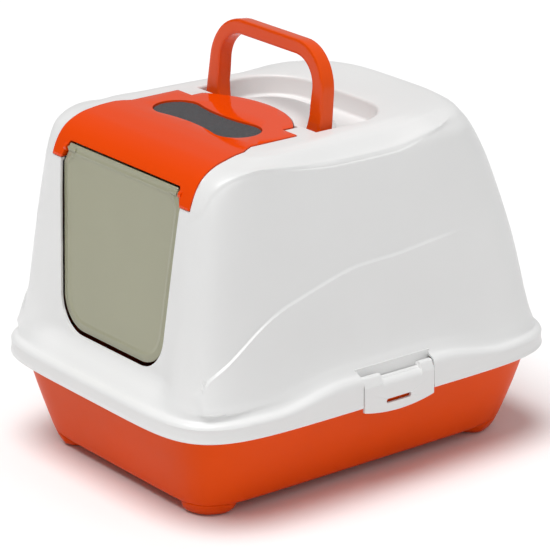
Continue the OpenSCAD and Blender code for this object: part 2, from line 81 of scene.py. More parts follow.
# Hood rings from the rim's lower edge to the crown: height, half width, front and rear
# reach, front and rear corner power, narrowing at the rear, dip of the long edges,
# climb of the shoulder, lean of the wall.
HOOD_RINGS = (
    (103, 197.6, 250.6, 250.6, 6, 6, 0, 0, 0, 0),
    (104.5, 198, 251, 251, 6, 6, 0, 0, 0, 0),
    (111, 198, 251, 251, 6, 6, 0, 0, 2, 0),
    (118, 197.6, 250.6, 250.6, 6, 6, 0, 0, 10, 10),
    (121.5, 195.4, 248.4, 248.4, 6, 6, 0, 0, 12, 45),
    (123.2, 191.6, 244.6, 244.6, 6.3, 6.2, 0, 0, 13, 75),
    (124.4, 188.2, 241, 241, 7, 6.8, 0, 0, 13, 65),
    (127.5, 185.2, 238, 238, 8, 7.6, 0, 0, 13, 45),
    (133, 182.2, 235, 235, 9.5, 8.6, 0, 0, 12, 15),
    (142, 178.8, 231.5, 231.8, 10, 9, 0, 0, 9, 8),
    (160, 175, 227.4, 228, 10, 8.9, 0, 0, 3, 7),
    (180, 172, 224.5, 224.5, 10, 8.7, 0, 0, 0, 7),
    (220, 167.5, 219.5, 218, 10.5, 7.8, 0, 0, 0, 7),
    (260, 163, 214.5, 209.5, 11, 6.7, 0, 0, 0, 7),
    (300, 159, 209, 198.5, 12, 5.8, 0, 0, 0, 8),
    (325, 157, 204.5, 191, 13, 5.1, 0, 1.5, 0, 10),
    (342, 155.2, 198.5, 184.5, 14, 4.6, 0, 3, 0, 20),
    (354, 153.6, 191, 179, 15, 4.3, 0, 5, 0, 35),
    (362, 152.4, 181.5, 174.5, 15, 4, 2, 7, 0, 50),
    (368, 150.4, 168.5, 170.5, 15, 3.9, 5, 9, 0, 65),
    (371, 146, 155, 167, 13, 3.8, 9, 9, 0, 78),
    (373.2, 136, 141, 163, 10, 4, 15, 4, 0, 86),
    (374, 126, 129, 158, 8, 4.2, 22, 0, 0, 90),
)
TOP_RING = 13       # the cover and its ledge are cut from a skin that starts here
CROWN = (0, 0.15, 0.35, 0.55, 0.75, 0.88, 0.95)

# Tray rings: height, half width, half length, corner power.
TRAY_RINGS = (
    (10, 136.5, 198, 8.5), (10.6, 141.5, 203, 9), (12.6, 145.4, 207, 9.4), (16, 148.4, 210, 9.6),
    (21.5, 150.9, 211.8, 9.6), (45, 160, 218.2, 9), (70, 168.8, 224.8, 8.4), (100, 179, 232, 7.6),
    (112, 182.5, 234.8, 7.2), (117, 183, 235.3, 7.2),
)

# The tray's flat flange and its turned-down lip, as a closed section of such rings.
LIP_RINGS = (
    (105, 193.6, 246.6, 6), (114, 193.6, 246.6, 6), (114.6, 193.0, 246.0, 6), (114.6, 181.2, 233.5, 7.2),
    (112, 181.2, 233.5, 7.2), (112, 191.2, 244.2, 6), (105, 191.2, 244.2, 6), (105, 193.6, 246.6, 6),
)

# Foot rings under each corner, flush with the tray's wall: height, half width, half length.
FOOT_RINGS = ((0, 137.5, 199.5), (0.5, 139.5, 201.5), (2, 141.6, 203.6), (5, 144, 206), (10, 146.6, 208.2),
              (16, 149, 210.1), (24, 151.2, 211.6))
FOOT_POWER = 9.6
FOOT_PAD, FOOT_PLACE = (28, 29, 13), (116.5, 179, 10)      # the pad's half sizes and its middle


# ---- Formulas ------------------------------------------------------------
def clamp(value, low=0.0, high=1.0):
    return min(max(value, low), high)


def smooth(value):
    u = clamp(value)
    return u * u * (3 - 2 * u)


def through(knots, place):
    """Values at a place on the smooth curve through (place, value, ...) knots."""
    last = len(knots) - 1
    i = min(sum(1 for knot in knots[1:] if knot[0] <= place), last - 1)
    a, b = knots[i], knots[i + 1]
    span = b[0] - a[0]
    u = clamp((place - a[0]) / span)

    def slope(j):
        low, high = knots[max(j - 1, 0)], knots[min(j + 1, last)]
        return [(q - p) / (high[0] - low[0]) * span for p, q in zip(low[1:], high[1:])]

    weights = (2 * u**3 - 3 * u**2 + 1, u**3 - 2 * u**2 + u, 3 * u**2 - 2 * u**3, u**3 - u**2)
    return [sum(w * v for w, v in zip(weights, values))
            for values in zip(a[1:], slope(i), b[1:], slope(i + 1))]


def door_plane(z):
    """How far forward the doorway's plane lies at a height."""
    return DOOR_FOOT[0] + (z - DOOR_FOOT[1]) * DOOR_LEAN


def edge_dip(y):
    """How much the crown's long edges dip at a place along the hood, from 0 to 1."""
    return smooth((y + 150) / 110) * (1 - smooth((y - 35) / 65))


def rim_climb(y):
    """How much the rim's shoulder climbs over the clips at a place along the hood, from 0 to 1."""
    return smooth((y + 150) / 90) * (1 - smooth((y - 62) / 100))


def door_dish(x, y, z, depth):
    """How far the front wall is drawn back to depth behind the doorway's plane."""
    if y > 0 or z < 124:
        return 0.0
    share = smooth((z - 124) / 26) * (1 - smooth((z - 318) / 20)) * (1 - smooth((abs(x) - 90) / 42))
    return share * max(door_plane(z) + depth - y, 0)


def hood_point(ring, way, depth):
    """A point on the hood, sunk below its surface by depth."""
    height, half, front, rear, front_power, rear_power, narrowing, dip, climb, lean = ring
    power = front_power if way.y < 0 else rear_power
    p = way * (abs(way.x) ** power + abs(way.y) ** power) ** (-1 / power)
    aside = depth * math.cos(math.radians(lean))
    y = ((front if way.y < 0 else rear) - aside) * p.y
    back = clamp((y + 100) / 250, 0, 1.2)
    x = (half - aside) * p.x * (1 - narrowing / half * back**1.5)
    z = height - depth * math.sin(math.radians(lean)) - dip * edge_dip(y) + climb * rim_climb(y)
    return Vector((x, y + door_dish(x, y, z, depth), z))


def square_way(i, across):
    """Direction i of those round a square, a little closer together at its corners."""
    side, step = divmod(i % across, across // 4)
    t = 2 * step / (across // 4) - 1
    w = 0.5 * t + 0.5 * math.sin(t * math.pi / 2)
    return Vector(((1, w), (-w, 1), (-1, -w), (w, -1))[side])


# ---- Making meshes -------------------------------------------------------
def wrap(bm, across, along, place):
    """A grid bent into a skin: place(i, j) gives each crossing's point."""
    made = bmesh.ops.create_grid(bm, x_segments=across, y_segments=along, size=1)["verts"]
    for v in made:
        v.co = place(round((v.co.x + 1) / 2 * across), round((v.co.y + 1) / 2 * along))
    bmesh.ops.remove_doubles(bm, verts=made, dist=WELD)
    return bm


def outline(corners, turns=10):
    """Points of a flat outline whose corners (x, y, radius) are rounded."""
    points = []
    for i, (x, y, radius) in enumerate(corners):
        here = Vector((x, y))
        back = (Vector(corners[i - 1][:2]) - here).normalized()
        ahead = (Vector(corners[(i + 1) % len(corners)][:2]) - here).normalized()
        half = back.angle(ahead) / 2
        if not radius:
            points.append(here)
            continue
        centre = here + (back + ahead).normalized() * radius / math.sin(half)
        start = here + back * radius / math.tan(half) - centre
        sweep = math.copysign(math.pi - 2 * half, back.cross(ahead))
        for k in range(turns + 1):
            points.append(centre + Matrix.Rotation(-sweep * k / turns, 2) @ start)
    return points


def mirrored(corners):
    """The corners of a right half, and their mirror images in turn."""
    return list(corners) + [(-x, y, r) for x, y, r in reversed(corners)]


def slab(bm, points, low, high, upright=False):
    """A flat outline made solid between two heights, or two depths if it stands upright."""
    def lift(x, y, h):
        return Vector((x, h, y)) if upright else Vector((x, y, h))

    face = bm.faces.new([bm.verts.new(lift(p[0], p[1], low)) for p in points])
    made = bmesh.ops.extrude_face_region(bm, geom=[face])["geom"]
    moved = [v for v in made if isinstance(v, bmesh.types.BMVert)]
    bmesh.ops.translate(bm, verts=moved, vec=lift(0, 0, high - low))
    return bm


def block(bm, x, y, z):
    """A box between two places along each axis."""
    size = Matrix.Diagonal((x[1] - x[0], y[1] - y[0], z[1] - z[0], 1))
    middle = Matrix.Translation((sum(x) / 2, sum(y) / 2, sum(z) / 2))
    bmesh.ops.create_cube(bm, size=1, matrix=middle @ size)
    return bm


def rod(bm, radius, start, stop, sides=40):
    """A round rod between two points."""
    start, stop = Vector(start), Vector(stop)
    turn = (stop - start).to_track_quat("Z", "Y").to_matrix().to_4x4()
    bmesh.ops.create_cone(bm, cap_ends=True, segments=sides, radius1=radius, radius2=radius,
                          depth=(stop - start).length, matrix=Matrix.Translation((start + stop) / 2) @ turn)
    return bm


def combine(base, tool, operation):
    """Two closed solids cut, joined or crossed; both are used up."""
    objects = []
    for bm in (base, tool):
        bmesh.ops.recalc_face_normals(bm, faces=bm.faces)
        mesh = bpy.data.meshes.new("working")
        bm.to_mesh(mesh)
        bm.free()
        objects.append(bpy.data.objects.new("working", mesh))
        bpy.context.scene.collection.objects.link(objects[-1])
    held = objects[0].modifiers.new("combine", "BOOLEAN")
    held.operation, held.object, held.solver = operation, objects[1], "MANIFOLD"
    evaluated = objects[0].evaluated_get(bpy.context.evaluated_depsgraph_get())
    result = bmesh.new()
    result.from_mesh(evaluated.to_mesh())
    evaluated.to_mesh_clear()
    for obj in objects:
        bpy.data.meshes.remove(obj.data)
    if not result.faces:
        raise RuntimeError("a combined solid came out empty")
    return result


def cut(base, *tools):
    for tool in tools:
        base = combine(base, tool, "DIFFERENCE")
    return base


def add(base, *tools):
    for tool in tools:
        base = combine(base, tool, "UNION")
    return base


def soften(bm, width, segments=2, least=40, where=None):
    """Rounds the edges that turn more than least degrees, inside where(point)."""
    bmesh.ops.dissolve_degenerate(bm, edges=bm.edges, dist=WELD * 5)

    def sharp():
        return [e for e in bm.edges if e.is_manifold and e.calc_face_angle() > math.radians(least)
                and (where is None or where((e.verts[0].co + e.verts[1].co) / 2))]

    edge_points = {v for e in sharp() for v in e.verts}
    near = {}
    for v in edge_points:
        for e in v.link_edges:
            other = e.other_vert(v)
            if other not in edge_points and e.calc_length() < 1.7 * width:
                near.setdefault(other, v)
    bmesh.ops.weld_verts(bm, targetmap=near)
    bmesh.ops.dissolve_degenerate(bm, edges=bm.edges, dist=WELD * 5)
    edges = sharp()
    bmesh.ops.bevel(bm, geom=edges + list({v for e in edges for v in e.verts}), offset=width,
                    offset_type="OFFSET", segments=segments, profile=0.5, affect="EDGES",
                    material=-1, clamp_overlap=True, loop_slide=True)
    return bm


def piece(name, bm, body, nodes, material, crease=34):
    """Brings a finished shape to metres, and puts it on its body in place of its nodes."""
    bmesh.ops.scale(bm, verts=bm.verts, vec=(MM, MM, MM))
    for face in bm.faces:
        face.smooth = True
    for edge in bm.edges:
        edge.smooth = not (edge.is_manifold and edge.calc_face_angle() > math.radians(crease))
    mesh = bpy.data.meshes.new(name)
    bm.to_mesh(mesh)
    bm.free()
    obj = bpy.data.objects.new(name, mesh)
    bpy.context.scene.collection.objects.link(obj)
    mesh.materials.append(material)
    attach(obj, body)
    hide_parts(*nodes)
    return obj


# ---- Materials -----------------------------------------------------------
MIX_SHARE, MIX_FIRST, MIX_SECOND, MIX_COLOUR = 0, 6, 7, 2     # a colour Mix node's sockets


def node_of(tree, kind, **values):
    """A node with its properties, or its inputs by name, set."""
    made = tree.nodes.new(kind)
    for name, value in values.items():
        if name in made.inputs:
            made.inputs[name].default_value = value
        else:
            setattr(made, name, value)
    return made


def noise_at(tree, place, scale, detail, roughness=0.5):
    """The value of a noise pattern at a place."""
    made = node_of(tree, "ShaderNodeTexNoise", Scale=scale, Detail=detail, Roughness=roughness)
    tree.links.new(place, made.inputs["Vector"])
    return made.outputs["Fac"]


def remap(tree, value, low, high, to_low, to_high):
    """A value brought from one range to another."""
    made = tree.nodes.new("ShaderNodeMapRange")
    for name, setting in zip(("From Min", "From Max", "To Min", "To Max"), (low, high, to_low, to_high)):
        made.inputs[name].default_value = setting
    tree.links.new(value, made.inputs["Value"])
    return made.outputs["Result"]


def new_group(name, inputs, outputs):
    """An empty node group with named sockets."""
    group = bpy.data.node_groups.new(name, "ShaderNodeTree")
    for label, kind, default in inputs:
        socket = group.interface.new_socket(label, in_out="INPUT", socket_type=kind)
        socket.default_value = default
    for label, kind in outputs:
        group.interface.new_socket(label, in_out="OUTPUT", socket_type=kind)
    return group, group.nodes.new("NodeGroupInput"), group.nodes.new("NodeGroupOutput")


def moulded_group():
    """Colour drift, uneven gloss and fine texture of an injection-moulded wall."""
    group, given, result = new_group(
        "moulded_wall",
        [("Colour", "NodeSocketColor", (1, 1, 1, 1)), ("Thin Colour", "NodeSocketColor", (1, 1, 1, 1)),
         ("Roughness", "NodeSocketFloat", 0.3), ("Scuffs", "NodeSocketFloat", 0.5)],
        [("Colour", "NodeSocketColor"), ("Roughness", "NodeSocketFloat"), ("Height", "NodeSocketFloat")])
    place = group.nodes.new("ShaderNodeTexCoord").outputs["Object"]
    drift = remap(group, noise_at(group, place, 7, 2), 0.3, 0.7, 0, 1)
    colour = node_of(group, "ShaderNodeMix", data_type="RGBA")
    group.links.new(drift, colour.inputs[MIX_SHARE])
    group.links.new(given.outputs["Colour"], colour.inputs[MIX_FIRST])
    group.links.new(given.outputs["Thin Colour"], colour.inputs[MIX_SECOND])
    group.links.new(colour.outputs[MIX_COLOUR], result.inputs["Colour"])
    # Fine scuffs: long thin streaks where the moulding has been handled.
    stretched = node_of(group, "ShaderNodeMapping")
    stretched.inputs["Scale"].default_value = (60, 60, 900)
    stretched.inputs["Rotation"].default_value = (0.5, 0.35, 0.2)
    group.links.new(place, stretched.inputs["Vector"])
    streaks = remap(group, noise_at(group, stretched.outputs["Vector"], 1, 4, 0.6), 0.6, 0.75, 0, 0.08)
    patches = remap(group, noise_at(group, place, 22, 4), 0.35, 0.7, -0.03, 0.05)
    scuffed = node_of(group, "ShaderNodeMath", operation="MULTIPLY_ADD")
    group.links.new(streaks, scuffed.inputs[0])
    group.links.new(given.outputs["Scuffs"], scuffed.inputs[1])
    group.links.new(patches, scuffed.inputs[2])
    rough = node_of(group, "ShaderNodeMath", operation="ADD")
    group.links.new(scuffed.outputs[0], rough.inputs[0])
    group.links.new(given.outputs["Roughness"], rough.inputs[1])
    group.links.new(rough.outputs[0], result.inputs["Roughness"])
    # Faint flow waviness under a fine spark-eroded grain.
    waves = remap(group, noise_at(group, place, 30, 2), 0, 1, 0, 0.75)
    grain = remap(group, noise_at(group, place, 1500, 2), 0, 1, 0, 0.25)
    height = node_of(group, "ShaderNodeMath", operation="ADD")
    group.links.new(waves, height.inputs[0])
    group.links.new(grain, height.inputs[1])
    group.links.new(height.outputs[0], result.inputs["Height"])
    return group


def moulded(name, colour, thin_colour, roughness, relief=0.12, scuffs=0.5, **shader):
    """A moulded plastic: thin_colour is its tone where the wall lets more light through."""
    material = bpy.data.materials.new(name)
    material.use_nodes = True
    tree = material.node_tree
    surface = tree.nodes["Principled BSDF"]
    group = bpy.data.node_groups.get("moulded_wall") or moulded_group()
    wall = node_of(tree, "ShaderNodeGroup", node_tree=group)
    wall.inputs["Colour"].default_value = (*colour, 1)
    wall.inputs["Thin Colour"].default_value = (*thin_colour, 1)
    wall.inputs["Roughness"].default_value = roughness
    wall.inputs["Scuffs"].default_value = scuffs
    bump = node_of(tree, "ShaderNodeBump", Strength=relief, Distance=0.0004)
    tree.links.new(wall.outputs["Height"], bump.inputs["Height"])
    tree.links.new(bump.outputs["Normal"], surface.inputs["Normal"])
    tree.links.new(wall.outputs["Colour"], surface.inputs["Base Color"])
    tree.links.new(wall.outputs["Roughness"], surface.inputs["Roughness"])
    for label, value in shader.items():
        surface.inputs[label.replace("_", " ")].default_value = value
    return material


def felt(name, colour, fleck):
    """Charcoal-loaded fibre mat: short fibres, flecks and a loose nap."""
    material = bpy.data.materials.new(name)
    material.use_nodes = True
    tree = material.node_tree
    surface = tree.nodes["Principled BSDF"]
    place = tree.nodes.new("ShaderNodeTexCoord").outputs["Object"]
    warped = node_of(tree, "ShaderNodeTexNoise", Scale=120.0, Detail=2.0)
    tree.links.new(place, warped.inputs["Vector"])
    shift = node_of(tree, "ShaderNodeVectorMath", operation="MULTIPLY_ADD")
    tree.links.new(warped.outputs["Color"], shift.inputs[0])
    shift.inputs[1].default_value = (0.006, 0.006, 0.006)
    tree.links.new(place, shift.inputs[2])
    fibres = []
    for turn in (0.4, 1.9):
        comb = node_of(tree, "ShaderNodeMapping")
        comb.inputs["Rotation"].default_value = (0, 0, turn)
        comb.inputs["Scale"].default_value = (2600, 420, 900)
        tree.links.new(shift.outputs[0], comb.inputs["Vector"])
        fibres.append(noise_at(tree, comb.outputs["Vector"], 1, 2))
    nap = node_of(tree, "ShaderNodeMath", operation="MAXIMUM")
    tree.links.new(fibres[0], nap.inputs[0])
    tree.links.new(fibres[1], nap.inputs[1])
    tint = remap(tree, nap.outputs[0], 0.42, 0.78, 0, 1)
    colours = node_of(tree, "ShaderNodeMix", data_type="RGBA")
    tree.links.new(tint, colours.inputs[MIX_SHARE])
    colours.inputs[MIX_FIRST].default_value = (*colour, 1)
    colours.inputs[MIX_SECOND].default_value = (*fleck, 1)
    bump = node_of(tree, "ShaderNodeBump", Strength=0.7, Distance=0.0009)
    tree.links.new(nap.outputs[0], bump.inputs["Height"])
    tree.links.new(colours.outputs[MIX_COLOUR], surface.inputs["Base Color"])
    tree.links.new(bump.outputs["Normal"], surface.inputs["Normal"])
    surface.inputs["Roughness"].default_value = 0.95
    surface.inputs["Sheen Weight"].default_value = 0.15
    return material


# ---- Settings ------------------------------------------------------------
def colour_setting(label, description, default):
    return FloatVectorProperty(name=label, description=description, subtype="COLOR", size=3,
                               min=0, max=1, default=default)


def length_setting(label, description, millimetres):
    return FloatProperty(name=label, description=description, default=millimetres * MM, unit="LENGTH",
                         precision=4)


class LitterBoxColours(bpy.types.PropertyGroup):
    hood: colour_setting("Hood", "White of the hood and its clips", (0.79, 0.79, 0.785))
    tray: colour_setting("Tray", "Deep orange of the tray", (0.72, 0.066, 0.0003))
    cover: colour_setting("Cover", "Red-orange of the flip cover", (0.80, 0.062, 0.0006))
    handle: colour_setting("Handle", "Red-orange of the carrying handle", (0.77, 0.072, 0.0015))
    door: colour_setting("Door", "Smoky tint of the swing door", (0.50, 0.495, 0.35))
    filter: colour_setting("Filter", "Dark fibres of the odour filter", (0.022, 0.023, 0.026))
    fleck: colour_setting("Fleck", "Lighter fibres of the odour filter", (0.11, 0.112, 0.12))
    floor: colour_setting("Floor", "Tone of the floor", (0.98, 0.98, 0.98))


class LitterBoxSizes(bpy.types.PropertyGroup):
    wall: length_setting("Hood wall", "Thickness of the hood's wall", 2.6)
    tray_wall: length_setting("Tray wall", "Thickness of the tray's wall", 2.6)
    cover_wall: length_setting("Cover wall", "Thickness of the flip cover", 2.8)
    cover_proud: length_setting("Cover height", "How far the cover stands proud of the hood", 1.0)
    door: length_setting("Door", "Thickness of the swing door", 2.4)
    edge: length_setting("Edge radius", "Radius of the moulded edges", 0.8)


class LitterBoxSettings(bpy.types.PropertyGroup):
    colours: PointerProperty(type=LitterBoxColours, name="Colours", description="Colours of the finishes")
    sizes: PointerProperty(type=LitterBoxSizes, name="Sizes", description="Sizes of the shells")


def settings():
    return bpy.context.scene.litter_box


def size_of(name):
    """A size setting in millimetres."""
    return getattr(settings().sizes, name) / MM


def tones(name, thin=1.12):
    """A finish's colour and the tone of its thinner places."""
    colour = tuple(getattr(settings().colours, name))
    return colour, tuple(min(c * thin, 1) for c in colour)


def finish_named(name):
    """The material of a finish, made when it is first asked for."""
    made = bpy.data.materials.get(name)
    if made:
        return made
    if name == "white_plastic":
        return moulded(name, *tones("hood", 1.03), 0.34, relief=0.1, scuffs=0.4)
    if name == "tray_orange":
        return moulded(name, *tones("tray", 1.1), 0.38, relief=0.14, scuffs=0.7, Specular_IOR_Level=0.1)
    if name == "cover_orange":
        return moulded(name, *tones("cover", 1.04), 0.1, relief=0.04, scuffs=0.25, Specular_IOR_Level=0.3)
    if name == "handle_orange":
        return moulded(name, *tones("handle", 1.05), 0.16, relief=0.07, scuffs=0.4, Specular_IOR_Level=0.25)
    if name == "smoky_door":
        return moulded(name, *tones("door", 1.05), 0.2, relief=0.05, scuffs=0.3,
                       Transmission_Weight=0.35, IOR=1.49)
    return felt(name, tones("filter")[0], tones("fleck")[0])


# ---- Shapes shared by the hood and the cover ------------------------------
def stations(first, step):
    """Places along the hood's profile, from ring first up, no more than step apart."""
    places = []
    for j in range(first, len(HOOD_RINGS) - 1):
        a, b = HOOD_RINGS[j], HOOD_RINGS[j + 1]
        reach = max(math.hypot(b[0] - a[0], b[k] - a[k]) for k in (1, 2, 3))
        count = math.ceil(reach / step)
        places += [j + i / count for i in range(count)]
    return places + [len(HOOD_RINGS) - 1]


HOOD_KNOTS = [(i, *ring) for i, ring in enumerate(HOOD_RINGS)]


def place_of(height):
    """The place on the hood's profile that has a height."""
    low, high = 0.0, len(HOOD_RINGS) - 1.0
    for _ in range(18):
        middle = (low + high) / 2
        low, high = (middle, high) if through(HOOD_KNOTS, middle)[0] < height else (low, middle)
    return low


# The side's wave line and the crease under the crown: y, height.
WAVE = ((-235, 146), (-222.6, 149.3), (-211, 164.5), (-192, 178.7), (-153, 206.5), (-126.6, 219.6),
        (-101, 227.4), (-65, 237), (-27, 245), (27, 247), (81, 252), (130, 255))
CREASE = ((-216, 270), (-208, 312), (-199, 334), (-190, 350), (-172, 362), (-138, 366.5), (-88, 362),
          (-23, 358), (42, 358), (76, 362), (117, 367), (150, 369))
WAVE_ROW, CREASE_ROW = 225.0, 360.0
PLATEAU_RING = 21   # the crown's flat top starts at this ring
BAND = (-3.4, -2.2, -1.1, 1.1, 2.2, 3.4)     # extra rows beside each line, in millimetres


def relief_rows(step):
    """Stations with close rows beside the two rows that follow the relief lines."""
    places = stations(0, step)
    for height in (WAVE_ROW, CREASE_ROW):
        near = [place_of(height + gap) for gap in (*BAND, 0)]
        places = [t for t in places if not min(near) - 0.01 < t < max(near) + 0.01] + near
    return sorted(places)


def relief_bend(way):
    """How a column's rows slide so that two of them follow the relief lines."""
    share = smooth((abs(way.x) - 0.86) / 0.14)
    bend = [(0.0, 0.0), (place_of(128), place_of(128))]
    for row, line in ((WAVE_ROW, WAVE), (CREASE_ROW, CREASE)):
        height = row
        for _ in range(3):
            y = hood_point(through(HOOD_KNOTS, place_of(height)), way, 0).y
            height = row + share * (through(line, y)[0] - row)
        near = place_of(row + BAND[0]), place_of(row + BAND[-1])
        bend += [(near[0], place_of(height + BAND[0])), (near[1], place_of(height + BAND[-1]))]
    last = len(HOOD_RINGS) - 1.0
    return bend + [(PLATEAU_RING, PLATEAU_RING), (last, last)]


def bent(bend, place):
    """A place on the profile after its column's rows have slid."""
    for (a, low), (b, high) in zip(bend, bend[1:]):
        if place <= b:
            return low + (high - low) * (place - a) / (b - a)
    return place


def hood_shell(outer, inner, first=0, step=3.0, across=384, relief=None):
    """A closed shell between two depths below the hood's surface."""
    last = len(HOOD_RINGS) - 1
    rows = [(last, inner, share) for share in CROWN]
    rows += [(t, inner, 1) for t in reversed(stations(first, 9))]
    rows += [(t, outer, 1) for t in (relief_rows(step) if relief else stations(first, step))]
    rows += [(last, outer, share) for share in reversed(CROWN)]
    rings = [through(HOOD_KNOTS, t) for t, _, _ in rows]
    ways = [square_way(i, across) for i in range(across)]
    bends = [relief_bend(way) for way in ways] if relief else None

    def place(i, j):
        t, depth, share = rows[j]
        way, ring = ways[i % across], rings[j]
        if relief and depth == outer and share == 1:
            bend = bends[i % across]
            t, line = bent(bend, t), (bend[4][1] + bend[5][1]) / 2      # line is the crease's row
            ring = through(HOOD_KNOTS, t)
            depth -= relief(hood_point(ring, way, depth), (t - line) / (PLATEAU_RING - line), t)
        p = hood_point(ring, way, depth)
        return Vector((p.x * share, p.y * share, p.z))

    return wrap(bmesh.new(), across, len(rows) - 1, place)


def cover_plan(grow):
    """The cover seen from above: wide at the front roll, stepped in, with a bulge behind."""
    roll, neck, rear, steps = 120.2 + grow, 102.5 + grow, -54 + grow, 20
    right = outline([(roll, FRONT[0], 0), (roll, -201, 40), (111.2 + grow, -129 + grow, 1.5),
                     (neck, -114 + grow, 1.5), (neck, rear, 1.5), (BULGE_HALF + grow, rear, 0)])
    half, rise = BULGE_HALF + grow, BULGE_RISE + grow
    radius = (half * half + rise * rise) / (2 * rise)
    for k in range(steps + 1):
        a = math.asin(half / radius) * (1 - k / steps)
        right.append(Vector((radius * math.sin(a), BULGE_FOOT + rise - radius + radius * math.cos(a))))
    return right + [Vector((-p.x, p.y)) for p in reversed(right[:-1])]


def doorway_plan(grow):
    """The doorway seen from the front, running up past the cover's seat."""
    low, high = DOOR_FOOT[1] - grow, 345
    return outline(mirrored([(DOOR_HALF + grow - DOOR_SPREAD * grow, low, DOOR_CORNER + grow),
                             (DOOR_HALF + grow + DOOR_SPREAD * (high - DOOR_FOOT[1]), high, 0)]))


def filter_plan(grow, arcs=24):
    """The filter's outline: two round lobes joined by a hollow waist."""
    hollow = (FILTER_REACH**2 + FILTER_WAIST**2 - FILTER_LOBE**2) / (2 * (FILTER_LOBE - FILTER_WAIST))
    turn = math.atan2(FILTER_REACH, FILTER_WAIST + hollow)
    lobe = FILTER_LOBE + grow
    half = []
    for k in range(arcs + 1):
        a = -math.pi / 2 - turn + (math.pi + 2 * turn) * k / arcs
        half.append(Vector((FILTER_REACH + lobe * math.cos(a), FILTER_Y + lobe * math.sin(a))))
    for k in range(1, arcs):
        a = turn * (1 - 2 * k / arcs)
        half.append(Vector(((hollow - grow) * math.sin(a),
                            FILTER_Y + FILTER_WAIST + hollow - (hollow - grow) * math.cos(a))))
    return half + [Vector((-p.x, 2 * FILTER_Y - p.y)) for p in half]


def loft(rows):
    """A closed solid through rings of points that have the same count, capped flat."""
    bm = bmesh.new()
    across = len(rows[0])
    return capped(wrap(bm, across, len(rows) - 1, lambda i, j: rows[j][i % across]))


def capped(bm):
    """Closes the open ends of a skin."""
    bmesh.ops.holes_fill(bm, edges=[e for e in bm.edges if e.is_boundary], sides=0)
    return bm


def side_block(s, x, y, z):
    """A box on the left (-1) or right (1) side."""
    return block(bmesh.new(), sorted((s * x[0], s * x[1])), y, z)


def hinge_rod(s, radius, start, stop, axis):
    """A rod along x, on the left (-1) or right (1) side of a hinge axis."""
    return rod(bmesh.new(), radius, (s * start, *axis), (s * stop, *axis))


# ---- Hood ----------------------------------------------------------------
WELL = (101.5, 82.0, 56.0)                  # the handle well: half width, rear edge, corner radius
WELL_FRONT, TUB_FRONT, TUB_WALL = -31.0, -36.5, 2.4
WELL_FLOOR = TOP - 21.5
ISLAND = (67.0, -14.0, 70.0)                # the island: half width, middle along y, reach
BULGE_GAP = 1.6                             # round the cover's rear bulge
WAVE_STEP, CREASE_STEP, BAND_HOLLOW, RIM_SINK = 2.1, 1.6, 2.4, 0.8     # heights of the relief


def hood_relief(p, band, place):
    """How far the outer skin stands out: the rim's sunk face, the side's wave line, the crease
    under the crown, and the hollow band above it, where band runs from 0 at the crease to 1
    at the flat top."""
    if place < 4:
        return -RIM_SINK * smooth((place - 1.1) / 0.2) * (1 - smooth((place - 2.7) / 0.4))
    side = smooth((abs(p.x) - 108) / 24)
    if p.z < 130 or not side:
        return 0.0
    rise = 0.0
    if p.z < 300:
        above = p.z - through(WAVE, p.y)[0]
        ends = smooth((p.y + 227) / 7) * (1 - smooth((p.y - 70) / 62))
        rise += WAVE_STEP * ends * (1 - smooth((above + 1.3) / 3.4)) * smooth((above + 110) / 100)
    if p.z > 262:
        above = p.z - through(CREASE, p.y)[0]
        ends = smooth((p.y + 214) / 16) * (1 - smooth((p.y - 100) / 45))
        rise -= CREASE_STEP * ends * (1 - smooth((above + 2.4) / 3.6)) * smooth((above + 70) / 62)
        rise -= BAND_HOLLOW * ends * 4 * clamp(band) * (1 - clamp(band)) * smooth((p.y + 195) / 60)
    return side * rise


def well_plan(grow, front):
    """The well seen from above, open towards the cover."""
    half, rear, corner = WELL
    return outline([(half + grow, front, 0), (half + grow, rear + grow, corner + grow),
                    (-half - grow, rear + grow, corner + grow), (-half - grow, front, 0)], turns=20)


def well_pocket():
    """The space cut for the well: a flared lip, drafted walls and a rounded foot."""
    lip, foot, draft, steps = 3.5, 3.0, 1.5, 5
    sections = [(lip + 2, TOP + 12), (lip + 0.6, TOP + 0.05)]
    turns = [math.pi / 2 * k / steps for k in range(steps + 1)]
    sections += [(lip * (1 - math.sin(a)), TOP - lip * (1 - math.cos(a))) for a in turns]
    sections += [(-draft - foot * (1 - math.cos(a)), WELL_FLOOR + foot * (1 - math.sin(a))) for a in turns]
    return loft([[Vector((p.x, p.y, z)) for p in well_plan(grow, WELL_FRONT)] for grow, z in sections])


def island():
    """The domed island: highest along the cover, falling softly to the groove."""
    half, middle, reach = ISLAND
    across, along, power = 96, 16, 2.4
    low, edge = WELL_FLOOR - 2, WELL_FLOOR + 1.5

    def place(i, j):
        a = 2 * math.pi * i / across
        ring = min(j / along, 1)
        x, y = math.cos(a), math.sin(a)
        p = Vector((x, y)) * (abs(x) ** power + abs(y) ** power) ** (-1 / power) * ring
        z = low if j > along else edge + (TOP - edge) * (1 - ring**4)
        return Vector((p.x * half, middle + p.y * reach, z))

    return capped(wrap(bmesh.new(), across, along + 1, place))


def cover_ledge():
    """The ledge that the cover's edges rest on."""
    ledge = combine(hood_shell(2.4, 4.8, first=TOP_RING, step=6, across=192),
                    slab(bmesh.new(), cover_plan(3), SEAT - 3, TOP + 30), "INTERSECT")
    return cut(ledge, block(bmesh.new(), (-95.5, 95.5), (-161, -57), CLEAR),
               block(bmesh.new(), (-78.5, 78.5), (-64, -13), CLEAR))


